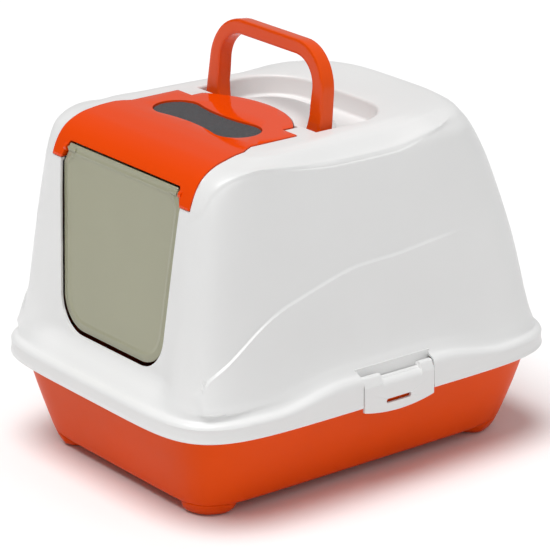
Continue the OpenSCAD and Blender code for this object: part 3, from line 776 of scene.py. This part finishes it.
def handle_well(bm):
    """The hood with the well's tub added, the space inside it cut out and the island set in it."""
    tub = cut(slab(bmesh.new(), well_plan(TUB_WALL, TUB_FRONT), WELL_FLOOR - TUB_WALL, TOP - 0.5),
              slab(bmesh.new(), cover_plan(2.0), *CLEAR))
    bm = cut(add(bm, tub), cut(well_pocket(), slab(bmesh.new(), cover_plan(3.4), *CLEAR)))
    return add(bm, cut(island(), slab(bmesh.new(), cover_plan(BULGE_GAP), *CLEAR)))


def swing_room(bm):
    """The hood with room for the cover's rear bulge, which swings down as the cover opens."""
    swing = combine(slab(bmesh.new(), cover_plan(BULGE_GAP), SEAT, 400),
                    block(bmesh.new(), (-90, 90), (-50, 0), (300, 410)), "INTERSECT")
    reach = BULGE_HALF + 1.5
    return cut(bm, swing, block(bmesh.new(), (-reach, reach), (-64, -34.4), (SEAT, 400)))


def side_fittings(bm, s):
    """The hood with one side's clip recess, hinge block for the cover and hinge holes."""
    start, stop = CLIP[0] - CLIP_GAP, CLIP[1] + CLIP_GAP
    bm = cut(bm, side_block(s, (185.4, 215), (start, stop), (95, 150)))
    bm = add(bm, side_block(s, (182.8, 185.5), (start - 2, stop + 2), (117.6, 142)),
             side_block(s, (79.6, 93), (-44.6, -35.4), (TOP - 8.5, TOP)))
    return cut(bm, hinge_rod(s, HANDLE_HOLE, 95, 114, HANDLE_AXIS),
               hinge_rod(s, COVER_HOLE, 70, 90.6, COVER_AXIS))


def make_hood():
    bm = cut(hood_shell(0, size_of("wall"), relief=hood_relief),
             slab(bmesh.new(), cover_plan(COVER_GAP), SEAT, TOP + 30))
    bm = swing_room(handle_well(add(bm, cover_ledge())))
    bm = cut(bm, slab(bmesh.new(), doorway_plan(0), *FRONT, upright=True),
             block(bmesh.new(), (-108.6, 108.6), FRONT, (SEAT, 400)))
    for s in (-1, 1):
        bm = side_fittings(bm, s)
    soften(bm, size_of("edge"), segments=2, least=50)
    piece("hood_shell", bm, "hood", ["hood"], finish_named("white_plastic"))


# ---- Flip cover ----------------------------------------------------------
def window_plan(grow):
    """The opening over the doorway, seen from the front."""
    return outline(mirrored([(106.2 + grow, 325, 0), (96.6 + grow, 347.8 + grow, 2.5)]))


def make_cover():
    proud, wall = size_of("cover_proud"), size_of("cover_wall")
    bm = combine(hood_shell(-proud, wall - proud, first=TOP_RING, step=3),
                 slab(bmesh.new(), cover_plan(0), COVER_FOOT, TOP + 30), "INTERSECT")
    # The flange round the window.
    flange = combine(hood_shell(1, 9, first=TOP_RING, step=6, across=192),
                     slab(bmesh.new(), window_plan(2.2), *FRONT, upright=True), "INTERSECT")
    flange = combine(flange, block(bmesh.new(), (-150, 150), FRONT, (COVER_FOOT, 400)), "INTERSECT")
    bm = cut(add(bm, flange), slab(bmesh.new(), window_plan(0), *FRONT, upright=True))
    # The skirt round the filter and its opening.
    bm = add(bm, slab(bmesh.new(), filter_plan(2), TOP - 10.3, TOP - 1.2))
    bm = cut(bm, slab(bmesh.new(), filter_plan(0), TOP - 12, TOP + 8))
    for s in (-1, 1):
        bm = add(bm, hinge_rod(s, BARREL, 62, 74, COVER_AXIS), hinge_rod(s, DOOR_EAR, 98.6, 102.8, DOOR_AXIS))
        bm = cut(bm, hinge_rod(s, BARREL_HOLE, 62.4, 75, COVER_AXIS))
    soften(bm, size_of("edge"), segments=3, least=50)
    piece("flip_cover_shell", bm, "flip_cover", ["flip_cover"], finish_named("cover_orange"))


# ---- Swing door ----------------------------------------------------------
def door_plan(inset):
    """The door seen from the front, with a gap to the doorway at its sides and foot."""
    side_gap, foot_gap, corner = 1.6, 3.6, 38.5
    half = DOOR_HALF - side_gap - inset + DOOR_SPREAD * (foot_gap - side_gap)
    low = DOOR_FOOT[1] + foot_gap + inset
    return outline(mirrored([(half + DOOR_SPREAD * inset, low, corner - inset), (103.4 - inset, 324, 6),
                             (95 - inset, 339.5, 2), (95 - inset, 346 - inset, 1.5)]))


def make_door():
    depth, behind = size_of("door"), 3.2
    # Inset and depth of each ring: back edge, outer edge, front border, raised bead, sunk field.
    profile = ((6, depth), (1, depth), (0.3, depth - 0.3), (0, depth - 1), (0, 1), (0.35, 0.3), (1.1, 0),
               (6.2, 0), (7, -0.35), (8.6, -0.35), (9.6, 0.25), (12, 0.4))
    bm = loft([[Vector((p.x, door_plane(0) + behind + y + p.y * DOOR_LEAN, p.y)) for p in door_plan(inset)]
               for inset, y in profile])
    bm = add(bm, *(hinge_rod(s, DOOR_KNUCKLE, 82, 95, DOOR_AXIS) for s in (-1, 1)))
    piece("door_panel", bm, "swing_door", ["swing_door"], finish_named("smoky_door"))


# ---- Tray ----------------------------------------------------------------
def tray_row(z, half, length, power, across=256):
    """A ring of points round the tray at a height."""
    points = []
    for i in range(across):
        way = square_way(i, across)
        p = way * (abs(way.x) ** power + abs(way.y) ** power) ** (-1 / power)
        points.append(Vector((half * p.x, length * p.y, z)))
    return points


def tray_foot(s, e):
    """A rounded pad under a corner that ends flush with the wall."""
    column = loft([tray_row(z, half, length, FOOT_POWER) for z, half, length in FOOT_RINGS])
    pad = bmesh.new()
    bmesh.ops.create_uvsphere(pad, u_segments=96, v_segments=64, radius=1)
    bmesh.ops.scale(pad, verts=pad.verts, vec=FOOT_PAD)
    x, y, z = FOOT_PLACE
    bmesh.ops.translate(pad, verts=pad.verts, vec=(s * x, e * y, z))
    return combine(column, pad, "INTERSECT")


def make_tray():
    wall, steps = size_of("tray_wall"), 4
    knots = [(i, *ring) for i, ring in enumerate(TRAY_RINGS)]
    profile = [through(knots, k / steps) for k in range(steps * (len(knots) - 1) + 1)]
    floor = TRAY_RINGS[0][0]
    outer = [tray_row(*ring) for ring in profile]
    inner = [tray_row(z + wall * (1 - smooth((z - floor) / 12)), half - wall, length - wall, power)
             for z, half, length, power in reversed(profile)]
    bm = loft(outer + inner)
    lip = [tray_row(*ring) for ring in LIP_RINGS]
    bm = add(bm, wrap(bmesh.new(), len(lip[0]), len(lip) - 1, lambda i, j: lip[j][i % len(lip[0])]))
    for s in (-1, 1):
        # The catch that shows in the clip's slot, and the feet.
        bm = add(bm, side_block(s, (190.6, 193.4), (-14, 25), (99, 106)))
        for e in (-1, 1):
            bm = add(bm, cut(tray_foot(s, e), loft(inner[::-1])))
    soften(bm, 0.6, segments=2, least=50)
    piece("tray_shell", bm, "tray", ["tray"], finish_named("tray_orange"))


# ---- Handle --------------------------------------------------------------
HANDLE_LEAN = math.radians(6)
BAR, BAR_DEPTH, BAR_POWER = 16.0, 17.0, 10
FLARE, FOOT_THICKER = 7.0, 3.5


def handle_line(axis_z, top):
    """The bar's middle line: up the right leg, round the corner, across and down again."""
    shoulder, corner, steps = 95.0, 48.0, 16
    leg = ((88.0, -8), (88.0, 0), (87.8, 10), (87.4, 20), (87.0, 30))
    line = [(x, axis_z + rise) for x, rise in leg]
    for k in range(steps + 1):
        a = math.pi / 2 * k / steps
        line.append((shoulder - corner + (corner - BAR / 2) * math.cos(a),
                     top - corner + (corner - BAR / 2) * math.sin(a)))
    return line + [(-x, z) for x, z in reversed(line)]


def make_handle():
    axis_y, axis_z = HANDLE_AXIS
    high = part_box("handle")[1].z / MM
    line = handle_line(axis_z, axis_z + (high - axis_z) / math.cos(HANDLE_LEAN)
                       - BAR_DEPTH / 2 * math.tan(HANDLE_LEAN))
    sides = 40

    def place(i, j):
        x, z = line[j]
        before, after = line[max(j - 1, 0)], line[min(j + 1, len(line) - 1)]
        way = Vector((after[0] - before[0], after[1] - before[1])).normalized()
        out = Vector((way.y, -way.x))
        # The foot flares inwards and the leg is thicker low down.
        flare = FLARE * (1 - smooth((z - axis_z + 8) / 30))
        thick = BAR + FOOT_THICKER * (1 - smooth((z - axis_z - 20) / 50))
        a = 2 * math.pi * i / sides
        c, s = math.cos(a), math.sin(a)
        r = (abs(c) ** BAR_POWER + abs(s) ** BAR_POWER) ** (-1 / BAR_POWER)
        across = r * c * (thick + flare) / 2 - flare / 2
        return Vector((x + out.x * across, r * s * BAR_DEPTH / 2, z + out.y * across))

    bm = capped(wrap(bmesh.new(), sides, len(line) - 1, place))
    bmesh.ops.recalc_face_normals(bm, faces=bm.faces)
    soften(bm, 1.2, segments=3, least=60)
    turn = Matrix.Rotation(-HANDLE_LEAN, 3, "X")
    bmesh.ops.rotate(bm, verts=bm.verts, cent=(0, 0, axis_z), matrix=turn)
    bmesh.ops.translate(bm, verts=bm.verts, vec=(0, axis_y, 0))
    piece("carry_handle", bm, "handle", ["handle"], finish_named("handle_orange"))


# ---- Side clips ----------------------------------------------------------
CLIP_OUT, CLIP_IN = 198.0, 194.7            # the clip's outer and inner face
CLIP_LOW, CLIP_ARC = 91.4, 190.0            # lowest point and radius of the curved lower edge
CLIP_SHOULDER, CLIP_TURN = 119.0, 8.5       # where the face turns in over the hood, and how tightly
EARS = (CLIP[0], CLIP[0] + 24), (CLIP[1] - 16, CLIP[1])             # where the hinge ears are along y
# Corners of the ears and the shelf seen along the box, and of the slot seen from the side.
EAR = ((185.5, 125.8, 3), (185.5, 133.8, 4), (193.5, 133.8, 4), (197.9, 124, 8), (197.9, 116.5, 2),
       (190.6, 116.5, 1))
SHELF = ((186.2, 128.4, 1), (188.4, 129.2, 2), (191.5, 127.6, 1), (190.8, 121, 0.5), (186.2, 121, 1))
SLOT = ((-11, 101, 2.4), (22, 101, 2.4), (22, 106, 2.4), (-11, 106, 2.4))


def clip_section():
    """The clip's face and its rounded shoulder, seen along the box: x, height."""
    root, thick = CLIP_OUT - CLIP_TURN, CLIP_OUT - CLIP_IN
    foot, inner_turn = 88, CLIP_TURN - thick
    outer = [(root + CLIP_TURN * math.cos(a), CLIP_SHOULDER + CLIP_TURN * math.sin(a))
             for a in (math.radians(9 * k) for k in range(10))]
    inner = [(root + inner_turn * math.sin(a), CLIP_SHOULDER + inner_turn * math.cos(a))
             for a in (math.radians(18 * k) for k in range(6))]
    top = CLIP_SHOULDER + CLIP_TURN
    return [(CLIP_OUT, foot), *outer, (root - 0.5, top), (root - 0.5, top - thick), *inner, (CLIP_IN, foot)]


def side_clip():
    """The right clip: curved face, two hinge ears, a shelf behind and a slot."""
    middle = (CLIP[0] + CLIP[1]) / 2
    bowl = rod(bmesh.new(), CLIP_ARC, (150, middle, CLIP_LOW + CLIP_ARC), (230, middle, CLIP_LOW + CLIP_ARC),
               sides=256)
    bm = combine(slab(bmesh.new(), clip_section(), *CLIP, upright=True), bowl, "INTERSECT")
    for start, stop in EARS:
        bm = add(bm, slab(bmesh.new(), outline(EAR, turns=6), start, stop, upright=True))
    bm = add(bm, slab(bmesh.new(), outline(SHELF, turns=4), CLIP[0] + 2, CLIP[1] - 2, upright=True))
    # The slot is drawn flat and stood up on the clip's face.
    slot = slab(bmesh.new(), outline(SLOT, turns=6), 188, 202)
    stood_up = Matrix(((0, 0, 1, 0), (1, 0, 0, 0), (0, 1, 0, 0), (0, 0, 0, 1)))
    bmesh.ops.transform(slot, verts=slot.verts, matrix=stood_up)
    bm = cut(bm, slot)
    x, z = LATCH_AXIS
    for start, stop in ((CLIP[0] - 1, CLIP[0] + 8.6), (CLIP[1] - 8.6, CLIP[1] + 1)):
        bm = cut(bm, rod(bmesh.new(), LATCH_HOLE, (x, start, z), (x, stop, z)))
    return soften(bm, 0.7, segments=3, least=40)


def make_clips():
    for name in ("left", "right"):
        bm = side_clip()
        if name == "left":
            bmesh.ops.scale(bm, verts=bm.verts, vec=(-1, 1, 1))
            bmesh.ops.reverse_faces(bm, faces=bm.faces)
        piece(f"side_clip_{name}", bm, f"latch_{name}", [f"latch_{name}"],
              finish_named("white_plastic"))


# ---- Filter --------------------------------------------------------------
def make_filter():
    foot, top = TOP - 9.6, TOP - 0.6
    edge = filter_plan(-0.4, arcs=30)
    flat = (0, 0.1, 0.2, 0.3, 0.4, 0.5, 0.6, 0.7, 0.8, 0.88, 0.94)     # rings from the spine outwards

    def ring(share, z):
        made = []
        for p in edge:
            spine = Vector((clamp(p.x, -FILTER_REACH, FILTER_REACH), FILTER_Y))
            q = spine.lerp(p, share)
            here = Vector((q.x, q.y, z))
            nap = noise.noise(here * 0.35) * 0.35 + noise.noise(here * 1.1) * 0.2
            made.append(Vector((q.x, q.y, z + (nap if z > TOP - 2 else 0))))
        return made

    rows = [ring(share, foot) for share in flat]
    rows += [ring(0.98, foot), ring(1, TOP - 8.8), ring(1, TOP - 2.1), ring(0.985, TOP - 1.3),
             ring(0.96, TOP - 0.8)]
    rows += [ring(share, top) for share in reversed(flat)]
    bm = loft(rows)
    bmesh.ops.recalc_face_normals(bm, faces=bm.faces)
    piece("odour_filter", bm, "flip_cover", ["carbon_filter"], finish_named("charcoal_felt"))


# ---- Small parts kept as they are ----------------------------------------
CARRIED = {
    "white_plastic": ("filter_holder", "latch_pins_left", "latch_pins_right", "handle_pin_left",
                      "handle_pin_right", "cover_pin_left", "cover_pin_right"),
    "smoky_door": ("door_pin_left", "door_pin_right"),
}


def finish_small_parts():
    """Gives the pins and the filter's holder their finishes."""
    for finish, names in CARRIED.items():
        for name in names:
            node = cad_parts[name]
            node.data.materials.clear()
            node.data.materials.append(finish_named(finish))


# ---- Stage ---------------------------------------------------------------
AZIMUTH, ELEVATION, DISTANCE = math.radians(52.14), math.radians(20.01), 3.2721     # the camera's place
AIM = Vector((0, 0, 0.18))                  # what the camera looks at
DARK_SIDE = Vector((-0.75, -0.6, 0.28))     # the studio's darker side


def soft_sun(name, way, strength, spread):
    """A broad even light from the direction way, spread wide in degrees."""
    data = bpy.data.lights.new(name, "SUN")
    data.energy, data.angle = strength, math.radians(spread)
    obj = bpy.data.objects.new(name, data)
    bpy.context.scene.collection.objects.link(obj)
    obj.rotation_euler = Vector(way).to_track_quat("Z", "Y").to_euler()


def make_floor():
    bm = bmesh.new()
    bmesh.ops.create_grid(bm, x_segments=1, y_segments=1, size=12)
    mesh = bpy.data.meshes.new("floor")
    bm.to_mesh(mesh)
    bm.free()
    floor = bpy.data.objects.new("floor", mesh)
    bpy.context.scene.collection.objects.link(floor)
    material = bpy.data.materials.new("floor")
    material.use_nodes = True
    surface = material.node_tree.nodes["Principled BSDF"]
    surface.inputs["Base Color"].default_value = (*settings().colours.floor, 1)
    surface.inputs["Roughness"].default_value = 0.9
    surface.inputs["Specular IOR Level"].default_value = 0.1
    mesh.materials.append(material)


def make_studio():
    """An even studio, a little darker at the front left, before a white backdrop."""
    world = bpy.data.worlds.new("studio")
    world.use_nodes = True
    tree = world.node_tree
    facing = node_of(tree, "ShaderNodeVectorMath", operation="DOT_PRODUCT")
    tree.links.new(tree.nodes.new("ShaderNodeTexCoord").outputs["Generated"], facing.inputs[0])
    facing.inputs[1].default_value = DARK_SIDE.normalized()
    tone = remap(tree, facing.outputs["Value"], 0.0, 0.95, 0.43, 0.1)
    seen = node_of(tree, "ShaderNodeMath", operation="MAXIMUM")
    tree.links.new(tree.nodes.new("ShaderNodeLightPath").outputs["Is Camera Ray"], seen.inputs[0])
    tree.links.new(tone, seen.inputs[1])
    tree.links.new(seen.outputs[0], tree.nodes["Background"].inputs["Strength"])
    tree.nodes["Background"].inputs["Color"].default_value = (1, 1, 1, 1)
    bpy.context.scene.world = world


def make_camera():
    back = Vector((math.sin(AZIMUTH) * math.cos(ELEVATION), -math.cos(AZIMUTH) * math.cos(ELEVATION),
                   math.sin(ELEVATION)))
    data = bpy.data.cameras.new("camera")
    data.lens, data.sensor_width = 200.0, 36.0
    data.shift_x, data.shift_y = -0.004, 0.0052
    data.clip_start, data.clip_end = 0.1, 60
    camera = bpy.data.objects.new("camera", data)
    bpy.context.scene.collection.objects.link(camera)
    camera.location = AIM + back * DISTANCE
    camera.rotation_euler = (-back).to_track_quat("-Z", "Y").to_euler()
    bpy.context.scene.camera = camera


def make_stage():
    make_floor()
    make_studio()
    soft_sun("overhead softbox", (0.05, -0.5, 1.7), 2.55, 40)
    make_camera()
    bpy.context.scene.view_settings.view_transform = "Standard"


# ---- Operators -----------------------------------------------------------
class LITTERBOX_OT_stage(bpy.types.Operator):
    """Floor, soft studio light and camera"""
    bl_idname = "litterbox.stage"
    bl_label = "Stage"

    def execute(self, context):
        make_stage()
        return {"FINISHED"}


class LITTERBOX_OT_tray(bpy.types.Operator):
    """Orange tray with its flange and corner feet"""
    bl_idname = "litterbox.tray"
    bl_label = "Tray"

    def execute(self, context):
        make_tray()
        return {"FINISHED"}


class LITTERBOX_OT_hood(bpy.types.Operator):
    """White hood with its doorway, cover seat, handle well and clip recesses"""
    bl_idname = "litterbox.hood"
    bl_label = "Hood"

    def execute(self, context):
        make_hood()
        return {"FINISHED"}


class LITTERBOX_OT_cover(bpy.types.Operator):
    """Red-orange cover with its window and filter opening"""
    bl_idname = "litterbox.cover"
    bl_label = "Flip cover"

    def execute(self, context):
        make_cover()
        return {"FINISHED"}


class LITTERBOX_OT_door(bpy.types.Operator):
    """Smoky door panel with its embossed border"""
    bl_idname = "litterbox.door"
    bl_label = "Swing door"

    def execute(self, context):
        make_door()
        return {"FINISHED"}


class LITTERBOX_OT_handle(bpy.types.Operator):
    """Carrying handle with flared feet"""
    bl_idname = "litterbox.handle"
    bl_label = "Handle"

    def execute(self, context):
        make_handle()
        return {"FINISHED"}


class LITTERBOX_OT_clips(bpy.types.Operator):
    """The two clips that hold the hood on the tray"""
    bl_idname = "litterbox.clips"
    bl_label = "Side clips"

    def execute(self, context):
        make_clips()
        return {"FINISHED"}


class LITTERBOX_OT_filter(bpy.types.Operator):
    """Fibre mat in the cover's window"""
    bl_idname = "litterbox.filter"
    bl_label = "Odour filter"

    def execute(self, context):
        make_filter()
        return {"FINISHED"}


class LITTERBOX_OT_small_parts(bpy.types.Operator):
    """Finishes of the pins and the filter's holder"""
    bl_idname = "litterbox.small_parts"
    bl_label = "Small parts"

    def execute(self, context):
        finish_small_parts()
        return {"FINISHED"}


PIECES = (LITTERBOX_OT_stage, LITTERBOX_OT_tray, LITTERBOX_OT_hood, LITTERBOX_OT_cover, LITTERBOX_OT_door,
          LITTERBOX_OT_handle, LITTERBOX_OT_clips, LITTERBOX_OT_filter, LITTERBOX_OT_small_parts)


class LITTERBOX_PT_pieces(bpy.types.Panel):
    """Lists the pieces of the litter box"""
    bl_label = "Litter box"
    bl_idname = "LITTERBOX_PT_pieces"
    bl_space_type = "VIEW_3D"
    bl_region_type = "UI"
    bl_category = "Litter box"

    def draw(self, context):
        for made in PIECES:
            self.layout.operator(made.bl_idname)
        for group in (settings().sizes, settings().colours):
            for name in group.bl_rna.properties.keys():
                if name not in ("rna_type", "name"):
                    self.layout.prop(group, name)


CLASSES = (LitterBoxColours, LitterBoxSizes, LitterBoxSettings, *PIECES, LITTERBOX_PT_pieces)


def register():
    for made in CLASSES:
        bpy.utils.register_class(made)
    bpy.types.Scene.litter_box = PointerProperty(type=LitterBoxSettings)


def unregister():
    del bpy.types.Scene.litter_box
    for made in reversed(CLASSES):
        bpy.utils.unregister_class(made)


def main():
    register()
    for made in PIECES:
        group, name = made.bl_idname.split(".")
        getattr(getattr(bpy.ops, group), name)()


if __name__ == "__main__":
    main()
